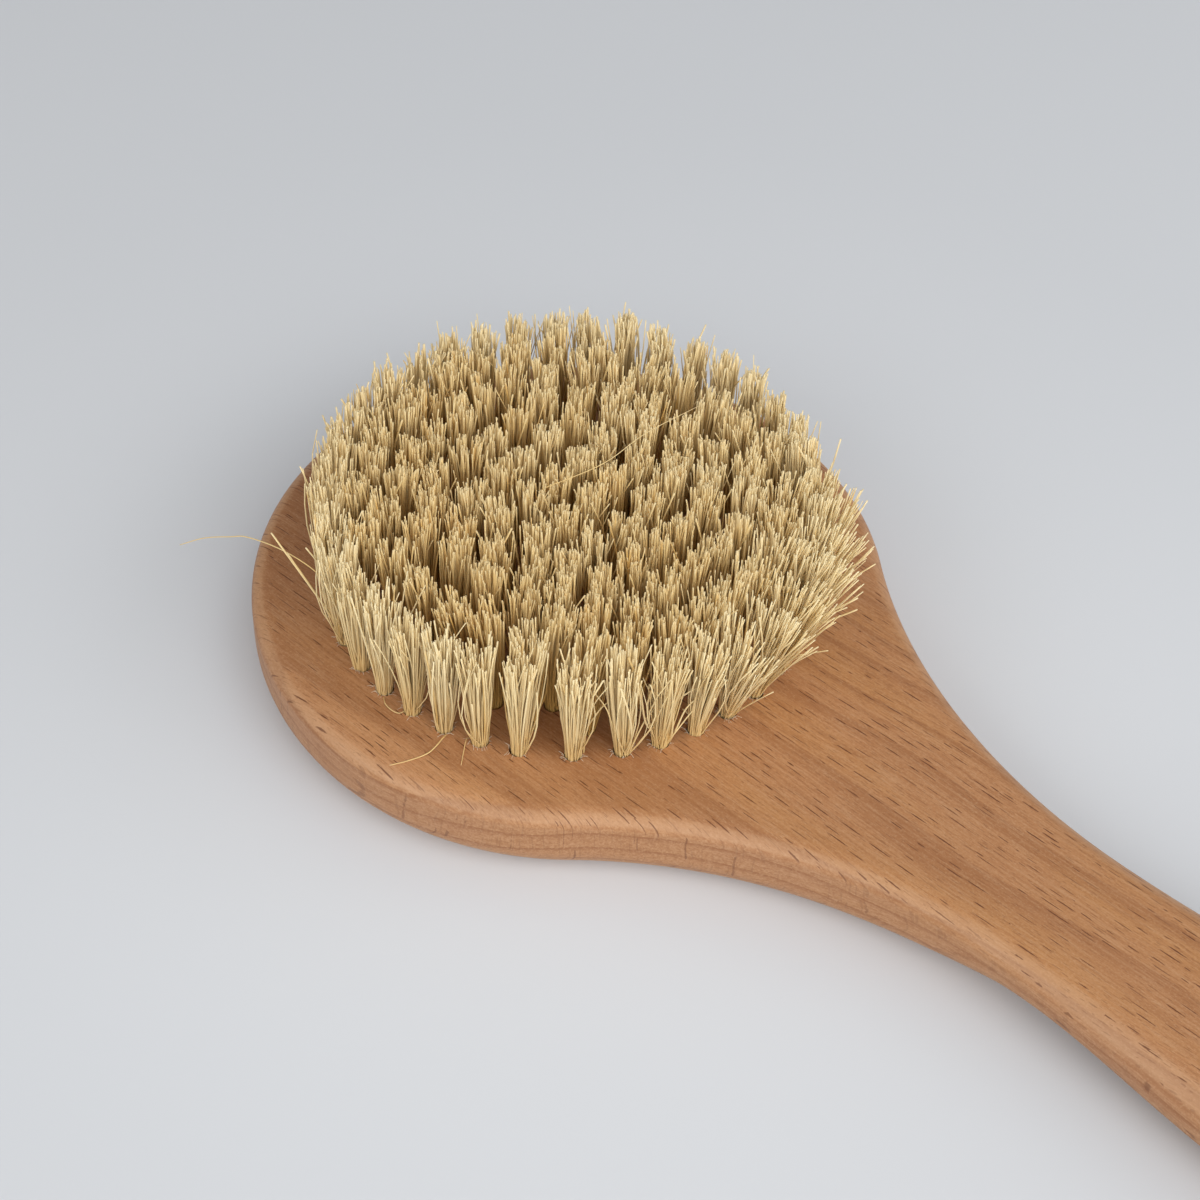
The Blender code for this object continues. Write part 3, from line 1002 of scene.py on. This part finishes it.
def pressed_tips(tuft, tips, outward_place):
    """The tips after the neighbours have pressed on them."""
    if not tuft.in_ring:
        return tips + tuft_room(*tuft.centre)
    outer_share = np.clip(0.5 + 0.5 * outward_place / tuft.tip_radius, 0.0, 1.0)
    push = ring_push * outer_share - (1.0 - ring_depth_share) * np.maximum(outward_place, 0.0)
    push = push - ring_inward_gain * np.maximum(-outward_place, 0.0)
    return tips + (1.0 - tuft.lean_share) * tuft.outward * push[:, None]


def leans_of_fibres(tuft, feet, chance):
    """How far each fibre is bent outwards: the outer ones of a tuft most."""
    foot_place = (feet @ tuft.outward)[:, None] / bundle_radius
    share = mean_lean_share + outer_lean_share * foot_place
    share = share + chance.normal(0.0, lean_scatter_share, foot_place.shape)
    return tuft.lean * np.clip(share, least_lean_share, most_lean_share)


print("the first row's end tuft spreads by", np.round(tuft_room(*tuft_centres[0]) / mm, 2), "mm")

# %% [markdown]
# The brush is trimmed with a turning cutter, which leaves the fibres uneven: the bunches differ, some
# fibres have slipped and are short, and the outer ones of the ring are cut lower. A leaning fibre
# doesn't grow, so its top comes down as it leans.

# %% Cut the fibres to length
trim_allowance = 1.0 * mm
bunch_unevenness = 0.80 * mm
fibre_unevenness = 0.55 * mm
tuft_unevenness = 0.35 * mm
short_fibre_share = 0.45
short_fibre_loss = 1.8 * mm
dome_drop = 0.6 * mm
ring_front_cut = 2.6 * mm
least_height_share = 0.55
height_excess = 0.3 * mm
leaning_drop_share = 0.8
least_leaning_height = 8.0 * mm


def fibre_heights(tuft, from_centre, outward_place, bunch, chance):
    """The heights of the fibres' ends above the face of the wood, as if none leaned."""
    count = len(bunch)
    bunch_heights = chance.normal(0.0, bunch_unevenness, bunches_per_tuft)
    heights = tuft_height - trim_allowance + bunch_heights[bunch]
    heights = heights + chance.normal(0.0, fibre_unevenness, count)
    heights = heights + chance.normal(0.0, tuft_unevenness)
    losses = chance.exponential(short_fibre_loss, count)
    heights = heights - losses * (chance.uniform(size=count) < short_fibre_share)
    dome = dome_drop * np.clip(from_centre[:, 0], 0.0, 1.3) ** 2
    heights = heights - dome * chance.uniform(0.0, 1.0, count)
    if tuft.in_ring:
        front_share = np.clip(outward_place / tuft.tip_radius, 0.0, 1.0)
        heights = heights - ring_front_cut * front_share * chance.uniform(0.0, 1.0, count)
    heights = np.maximum(heights, tuft_height * least_height_share)
    return np.minimum(heights, tuft_height + height_excess)


def lowered(heights, leans):
    """The heights after the fibres have leaned over."""
    drop = leaning_drop_share * np.linalg.norm(leans, axis=1)
    return np.sqrt(np.maximum(heights ** 2 - drop ** 2, least_leaning_height ** 2))


print("height of the trimmed tufts:", tuft_height, "m")

# %% [markdown]
# Light reaches the ring from the front and hardly gets in between the rows. So the ring's fibres are
# painted paler, as painted light, and the rows' fibres are painted darker towards their feet, most in
# the middle of the field, as painted shade. The tufts towards the right of the picture and the leaning
# ones are painted a little paler, as painted light, and about one fibre in fifty is a dark one. A single
# tone would be simpler, but the field would look flat.

# %% Tones of the fibres
# The ring's, the leaning and the right-hand tones are painted light; the darkening towards the feet is
# painted shade.
ring_painted_light_tone = 0.86
row_tone = 0.67
side_light_tone_change = 0.08
leaning_painted_light_tone = 0.94
tone_scatter = 0.05
dark_fibre_share = 0.02
dark_fibre_tone_share = 0.5
root_painted_shade_middle = 0.92
root_painted_shade_edge = 0.70
painted_shade_end = 0.30
painted_shade_fade = 0.65
painted_light_side = np.array([0.40, 0.92]) / field_radius


def tones_of_fibres(tuft, count, chance):
    """The tone of each fibre at each of its levels, with painted light and painted shade in it."""
    # Painted light: the rows' tone grows paler towards the right of the picture.
    own_tone = row_tone + side_light_tone_change * float(np.dot(tuft.centre, painted_light_side))
    # Painted shade: the rows' fibres darken towards their feet, most in the middle of the field.
    root_shade_depth = mix(root_painted_shade_middle, root_painted_shade_edge, tuft.from_middle) * (1.0 - tuft.lean_share)
    # Painted light: the ring's fibres are paler and get no painted shade.
    if tuft.in_ring:
        own_tone = ring_painted_light_tone
        root_shade_depth = 0.0
    # Painted light: the leaning tufts are paler.
    tones = mix(own_tone, leaning_painted_light_tone, tuft.lean_share) + chance.normal(0.0, tone_scatter)
    tones = np.clip(tones + chance.normal(0.0, tone_scatter, count), 0.0, 1.0)
    tones = np.where(chance.uniform(size=count) < dark_fibre_share, tones * dark_fibre_tone_share, tones)
    fade = np.clip((fibre_levels - painted_shade_end) / painted_shade_fade, 0.0, 1.0)
    shade = 1.0 - root_shade_depth * (1.0 - fade * fade * (3.0 - 2.0 * fade))
    return tones[:, None] * shade


print("tones of the ring and the rows:", ring_painted_light_tone, row_tone)

# %% [markdown]
# A fibre's way to its tip is the sum of the tuft's opening, its own wander and the lean. A few fibres
# in every tuft go their own way. The order of the random draws decides the look, so it stays.

# %% Shape the fibres of one tuft
ring_wayward_share = 0.14
row_wayward_share = 0.08
wayward_scatter = 1.6 * mm
wayward_swing = 2.0
tuft_scatter = 0.35 * mm
swing_scatter = 0.35 * mm
least_curve = 1.05
most_curve = 1.35
lean_curve = 1.25
radius_scatter = 0.22
least_fibre_radius = 0.09 * mm
most_fibre_radius = 0.26 * mm


def tuft_paths(centre, chance):
    """Points (fibre, level, xyz), the fibres' radii, and their tones at each level."""
    count = fibres_per_tuft
    tuft = Tuft(centre)
    feet = fibre_feet(chance)
    from_centre = np.linalg.norm(feet, axis=1, keepdims=True) / bundle_radius
    tips, bunch = gathered_tips(feet, from_centre, tuft.tip_radius, chance)
    outward_place = tips @ tuft.outward
    tips = pressed_tips(tuft, tips, outward_place)
    wayward_share = ring_wayward_share if tuft.in_ring else row_wayward_share
    wayward = (chance.uniform(size=count) < wayward_share)[:, None]
    tips = tips + chance.normal(0.0, wayward_scatter, tips.shape) * wayward
    tips = tips + chance.normal(0.0, tuft_scatter, 2)
    leans = leans_of_fibres(tuft, feet, chance)
    swing = chance.normal(0.0, swing_scatter, tips.shape) * (1.0 + wayward_swing * wayward)
    heights = lowered(fibre_heights(tuft, from_centre, outward_place, bunch, chance), leans)

    share = np.maximum(fibre_levels, 0.0)[None, :, None]
    flat = feet[:, None] + (tips - feet)[:, None] * share ** chance.uniform(least_curve, most_curve)
    flat = flat + swing[:, None] * np.sin(math.pi * share)
    flat = flat + leans[:, None] * share ** lean_curve
    flat = flat + tuft.centre
    up = head_thickness + fibre_levels[None, :] * heights[:, None]
    paths = np.concatenate([flat, up[:, :, None]], axis=2)
    radii = chance.lognormal(math.log(fibre_radius), radius_scatter, count)
    radii = np.clip(radii, least_fibre_radius, most_fibre_radius)
    return paths, radii, tones_of_fibres(tuft, count, chance)


print("levels along a fibre:", len(fibre_levels))

# %% [markdown]
# Each fibre becomes a rod: four corners at each level and a cap at both ends. The rods of a group are
# one mesh. Their map for baking gives each rod a cell of its own in a square grid, so that every
# fibre keeps its own colour when the colours are baked. In the cell, the sides lie below and the two caps
# above them, all a little way from the cell's border.

# %% Turn paths into rods
cell_margin = 0.05
sides_width = 0.9
sides_height = 0.8
cap_lefts = (0.1, 0.6)
cap_width = 0.3
cap_bottom = 0.88
cap_top = 0.98
least_flatness = 0.68
taper_places = [0.0, 0.3, 1.0]
taper_shares = [0.95, 1.0, 0.88]


def rod_pattern(levels, sides):
    """Faces of one rod, and its corners' places in a cell of the baking map."""
    faces = []
    corners = []
    for level in range(levels - 1):
        for side in range(sides):
            after = (side + 1) % sides
            low = level * sides
            faces.append([low + side, low + after, low + sides + after, low + sides + side])
            left = cell_margin + sides_width * side / sides
            right = cell_margin + sides_width * (side + 1) / sides
            bottom = cell_margin + sides_height * level / (levels - 1)
            top = cell_margin + sides_height * (level + 1) / (levels - 1)
            corners += [(left, bottom), (right, bottom), (right, top), (left, top)]
    faces.append(list(reversed(range(sides))))
    faces.append([(levels - 1) * sides + side for side in range(sides)])
    for left in cap_lefts:
        right = left + cap_width
        corners += [(left, cap_bottom), (right, cap_bottom), (right, cap_top), (left, cap_top)]
    return np.array(faces), np.array(corners)


def rods_mesh(name, paths, radii, tones, chance):
    """A mesh of rods along the paths: an array (rod, level, xyz)."""
    count, levels = paths.shape[:2]
    sides = fibre_sides
    turn = chance.uniform(0.0, 2.0 * math.pi, count)
    flatness = chance.uniform(least_flatness, 1.0, count)
    taper = np.interp(np.linspace(0.0, 1.0, levels), taper_places, taper_shares)
    angles = 2.0 * math.pi * (np.arange(sides) + 0.5) / sides
    level_radii = radii[:, None, None] * taper[None, :, None]
    wide = level_radii * np.cos(angles)[None, None]
    thin = level_radii * np.sin(angles)[None, None] * flatness[:, None, None]
    twist = turn[:, None, None]
    points = np.repeat(paths[:, :, None, :], sides, axis=2)
    points[..., 0] += wide * np.cos(twist) - thin * np.sin(twist)
    points[..., 1] += wide * np.sin(twist) + thin * np.cos(twist)
    faces, corners = rod_pattern(levels, sides)
    starts = np.arange(count)[:, None, None] * levels * sides
    all_faces = (faces[None] + starts).reshape(-1, sides)
    mesh = bpy.data.meshes.new(name)
    mesh.from_pydata(points.reshape(-1, 3).tolist(), [], all_faces.tolist())
    mesh.polygons.foreach_set("use_smooth", [True] * len(mesh.polygons))
    reach = np.broadcast_to(fibre_levels[None, :, None], (count, levels, sides)).ravel()
    tone = np.broadcast_to(tones[:, :, None], (count, levels, sides)).ravel()
    mesh.attributes.new("reach", "FLOAT", "POINT").data.foreach_set("value", reach.astype(np.float32))
    mesh.attributes.new("tone", "FLOAT", "POINT").data.foreach_set("value", tone.astype(np.float32))
    cells = math.ceil(math.sqrt(count))
    columns, rows = np.arange(count) % cells, np.arange(count) // cells
    origins = np.stack([columns, rows], axis=1)[:, None]
    chart = (corners[None] + origins) / cells
    mesh.uv_layers.new(name="OFBake").data.foreach_set("uv", chart.astype(np.float32).ravel())
    return mesh


print("faces of one rod:", len(rod_pattern(len(fibre_levels), fibre_sides)[0]))

# %% [markdown]
# Every group of tufts becomes one piece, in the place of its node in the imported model. Each has a
# seed of its own for the random numbers, so that one row can be changed without changing the others.

# %% Set the tufts
first_seed = 100
faces_of_fibres = 0
for number, (node, centres) in enumerate(tuft_groups.items()):
    chance = np.random.default_rng(first_seed + number)
    tufts = [tuft_paths(centre, chance) for centre in centres]
    paths, radii, tones = [np.concatenate(parts) for parts in zip(*tufts)]
    mesh = rods_mesh(node + "_fibres", paths, radii, tones, chance)
    mesh.materials.append(fibre)
    piece = bpy.data.objects.new(node + "_fibres", mesh)
    bpy.context.scene.collection.objects.link(piece)
    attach(piece, "root")
    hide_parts(node)
    faces_of_fibres += len(mesh.polygons)
print("faces of the fibres:", faces_of_fibres)

# %% [markdown]
# ## Thin tubes
# Stray hairs and splinters are thin tubes along a bent path. Each is drawn as a few points in space
# and smoothed into a curve that goes through all of them. A bevelled curve object would do for that,
# but it can't hold the two numbers that the fibre material reads, so the curve is worked out here.

# %% Smooth a path
path_steps = 6


def smooth_path(points):
    """A curve through the points, with a few steps from each one to the next."""
    points = np.array(points, dtype=float)
    padded = np.vstack([2.0 * points[0] - points[1], points, 2.0 * points[-1] - points[-2]])
    share = np.linspace(0.0, 1.0, path_steps, endpoint=False)[:, None]
    pieces = []
    for before, start, end, after in zip(padded, padded[1:], padded[2:], padded[3:]):
        bend = 2.0 * before - 5.0 * start + 4.0 * end - after
        turn = 3.0 * start - before - 3.0 * end + after
        pieces.append(start + 0.5 * ((end - before) * share + bend * share ** 2 + turn * share ** 3))
    return np.vstack(pieces + [points[-1:]])


print("steps between two points of a path:", path_steps)

# %% [markdown]
# A round section is swept along the curve. It is carried from one point to the next without turning,
# because a section set by a fixed direction would flip where a hair bends back.

# %% Sweep a section along a path
tube_sides = 6
tube_taper = 0.35


def sweep(shape, path, radius, tone):
    """Add a closed tube along the path to a bmesh, with the two numbers of the fibre material."""
    tone_layer = shape.verts.layers.float["tone"]
    reach_layer = shape.verts.layers.float["reach"]
    tangents = np.gradient(path, axis=0)
    side = Vector(tangents[0]).orthogonal().normalized()
    rings = []
    for level, (point, tangent) in enumerate(zip(path, tangents)):
        forward = Vector(tangent).normalized()
        side = (side - forward * side.dot(forward)).normalized()
        up = forward.cross(side)
        share = level / (len(path) - 1)
        width = radius * (1.0 - tube_taper * share ** 3)
        ring = []
        for corner in range(tube_sides):
            angle = 2.0 * math.pi * corner / tube_sides
            out = side * math.cos(angle) + up * math.sin(angle)
            vertex = shape.verts.new(Vector(point) + out * width)
            vertex[tone_layer] = tone
            vertex[reach_layer] = share
            ring.append(vertex)
        rings.append(ring)
    for low, high in zip(rings, rings[1:]):
        for corner in range(tube_sides):
            after = (corner + 1) % tube_sides
            shape.faces.new([low[corner], low[after], high[after], high[corner]])
    shape.faces.new(list(reversed(rings[0])))
    shape.faces.new(rings[-1])


def swept_piece(name, strands, material):
    """One piece of many tubes: a strand is its points in millimetres, its radius and its tone."""
    shape = bmesh.new()
    shape.verts.layers.float.new("tone")
    shape.verts.layers.float.new("reach")
    for points, radius, tone in strands:
        sweep(shape, smooth_path(points) * mm, radius * mm, tone)
    mesh = bpy.data.meshes.new(name)
    shape.to_mesh(mesh)
    shape.free()
    mesh.polygons.foreach_set("use_smooth", [True] * len(mesh.polygons))
    mesh.materials.append(material)
    piece = bpy.data.objects.new(name, mesh)
    bpy.context.scene.collection.objects.link(piece)
    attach(piece, "root")
    print(name, "strands:", len(strands), "faces:", len(mesh.polygons))


print("sides of a tube:", tube_sides)

# %% [markdown]
# ## Stray hairs
# Trimming and use leave a few long fibres that the tufts no longer hold straight: two thick ones point
# out on the left, a thin one lies over the edge, some curl between the front tufts and on the wood,
# and one lies across the tips. They could be drawn at random, but they are few and each one is seen,
# so they are listed one by one. A row holds a hair's points and its radius in millimetres, and its tone.

# %% Lay the stray hairs
stray_hairs = [
    ([(-17.0, -34.4, 13.0), (-18.7, -36.0, 20.0), (-27.3, -38.2, 32.0)], 0.21, 0.70),
    ([(-16.2, -34.8, 13.0), (-18.2, -35.8, 19.0), (-24.6, -37.6, 29.0)], 0.17, 0.60),
    ([(-18.0, -34.4, 20.0), (-20.0, -35.6, 26.0), (-26.1, -37.0, 28.0), (-33.8, -37.5, 26.0),
      (-37.5, -38.1, 24.0), (-42.6, -39.2, 21.0), (-46.7, -41.1, 18.0)], 0.10, 0.62),
    ([(9.2, -37.6, 13.6), (9.8, -39.0, 14.5), (10.2, -42.5, 14.3), (9.1, -45.6, 14.2),
      (7.4, -48.2, 13.9)], 0.10, 0.55),
    ([(12.2, -36.0, 13.6), (12.7, -37.2, 14.5), (15.3, -41.0, 14.1)], 0.08, 0.50),
    ([(-1.3, -5.1, 35.4), (1.9, 5.0, 35.7), (2.2, 14.8, 35.7), (3.8, 25.8, 35.2)], 0.07, 0.72),
    ([(30.6, -21.4, 34.0), (32.6, -21.0, 29.0), (33.0, -20.6, 25.0), (33.2, -20.0, 21.0),
      (33.5, -19.2, 18.6), (34.2, -17.9, 18.6)], 0.17, 0.86),
    ([(27.0, -26.6, 13.0), (27.2, -26.3, 19.0), (28.0, -25.6, 22.0), (28.6, -24.1, 24.0),
      (30.7, -21.8, 27.0)], 0.14, 0.80),
    ([(30.9, -22.4, 13.0), (30.4, -24.4, 22.0), (29.4, -24.8, 25.0), (27.8, -25.8, 28.0)], 0.12, 0.74),
    ([(31.9, -21.6, 13.0), (32.5, -22.0, 15.5), (32.9, -19.7, 20.0), (33.5, -18.3, 23.0),
      (32.0, -19.5, 29.0)], 0.13, 0.78),
    ([(34.6, -16.2, 13.0), (35.9, -16.7, 17.0), (35.8, -16.2, 23.0), (36.6, -14.4, 25.0),
      (38.6, -11.0, 26.4)], 0.17, 0.88),
    ([(34.8, -16.0, 13.0), (36.3, -16.2, 18.0), (36.8, -14.6, 22.0), (38.2, -12.4, 24.6)], 0.15, 0.84),
    ([(34.4, -16.4, 13.0), (36.2, -16.6, 17.0), (37.1, -13.4, 20.6), (38.0, -11.8, 21.6)], 0.12, 0.78),
    ([(36.9, -11.6, 13.0), (36.8, -12.1, 15.5), (36.0, -12.4, 17.4), (34.7, -12.9, 18.6)], 0.13, 0.80),
    ([(-4.2, -38.0, 13.4), (-1.2, -40.4, 14.4), (1.5, -40.1, 14.3), (1.4, -37.2, 14.4)], 0.08, 0.62),
    ([(36.8, 8.0, 13.0), (39.2, 9.6, 22.0), (45.7, 14.2, 30.0)], 0.20, 0.80),
    ([(37.2, 7.0, 13.0), (40.2, 9.4, 22.0), (46.4, 13.4, 28.6)], 0.18, 0.72),
    ([(36.0, 12.2, 13.0), (38.6, 14.6, 24.0), (44.6, 19.6, 32.6)], 0.15, 0.76),
]
swept_piece("stray_hairs", stray_hairs, fibre)

# %% [markdown]
# ## Torn rims
# The drill and the staple tear the wood a little where a tuft goes in. Pale splinters of beech, finer
# than a bristle, stand round the rims of the outer ring. A bump texture can't stand up from
# the face, so they are swept as the hairs are. Torn wood has taken no oil, so it is dry and pale.

# %% Make the torn wood's material
torn_dark = (0.56, 0.41, 0.27, 1.0)
torn_pale = (0.76, 0.66, 0.52, 1.0)
torn_roughness = 0.8
torn_reflection = 0.2


def torn_wood_material():
    """Dry beech in faint spots."""
    material, tree, shader = new_material("torn_beech")
    place = object_millimetres(tree)
    spots = noise(place.vector("SCALE", 3.0), 2.0)
    colour = spots.rise(0.3, 0.7).between(torn_dark, torn_pale)
    tree.links.new(colour.socket, shader.inputs["Base Color"])
    shader.inputs["Roughness"].default_value = torn_roughness
    shader.inputs["Specular IOR Level"].default_value = torn_reflection
    return material


torn_wood = torn_wood_material()
print("torn wood nodes:", len(torn_wood.node_tree.nodes))

# %% [markdown]
# A splinter starts a little below the face at the hole's rim, rises, and ends further out on the wood.
# Its place, length and turn along the rim are random. All of its sizes are in millimetres.

# %% Stand the splinters round the ring's holes
splinters_per_tuft = 18
splinter_seed = 31
splinter_lengths = (0.35, 1.25)
splinter_radii = (0.025, 0.055)
splinter_sink = 0.1
splinter_middle_lifts = (0.1, 0.5)
splinter_end_lifts = (0.0, 0.6)
splinter_turn = 0.7
splinter_tone = 0.5


def splinter(centre, chance):
    """A short curl of wood at a random place of a hole's rim: three points."""
    angle = chance.uniform(0.0, 2.0 * math.pi)
    away = np.array([math.cos(angle), math.sin(angle), 0.0])
    along_rim = np.array([-away[1], away[0], 0.0]) * chance.normal(0.0, splinter_turn)
    start = np.array([centre[0], centre[1], head_thickness]) / mm + away * drill_radius / mm
    length = chance.uniform(*splinter_lengths)
    middle_lift = np.array([0.0, 0.0, chance.uniform(*splinter_middle_lifts)])
    middle = start + (away * 0.3 + along_rim) * length * 0.5 + middle_lift
    end_lift = np.array([0.0, 0.0, chance.uniform(*splinter_end_lifts)])
    end = start + (away * 0.7 + along_rim) * length + end_lift
    foot = start - np.array([0.0, 0.0, splinter_sink])
    return [tuple(foot), tuple(middle), tuple(end)]


chance = np.random.default_rng(splinter_seed)
splinters = []
for centre in ring_centres:
    for _ in range(splinters_per_tuft):
        curl = splinter(centre, chance)
        splinters.append((curl, chance.uniform(*splinter_radii), splinter_tone))
swept_piece("torn_rims", splinters, torn_wood)
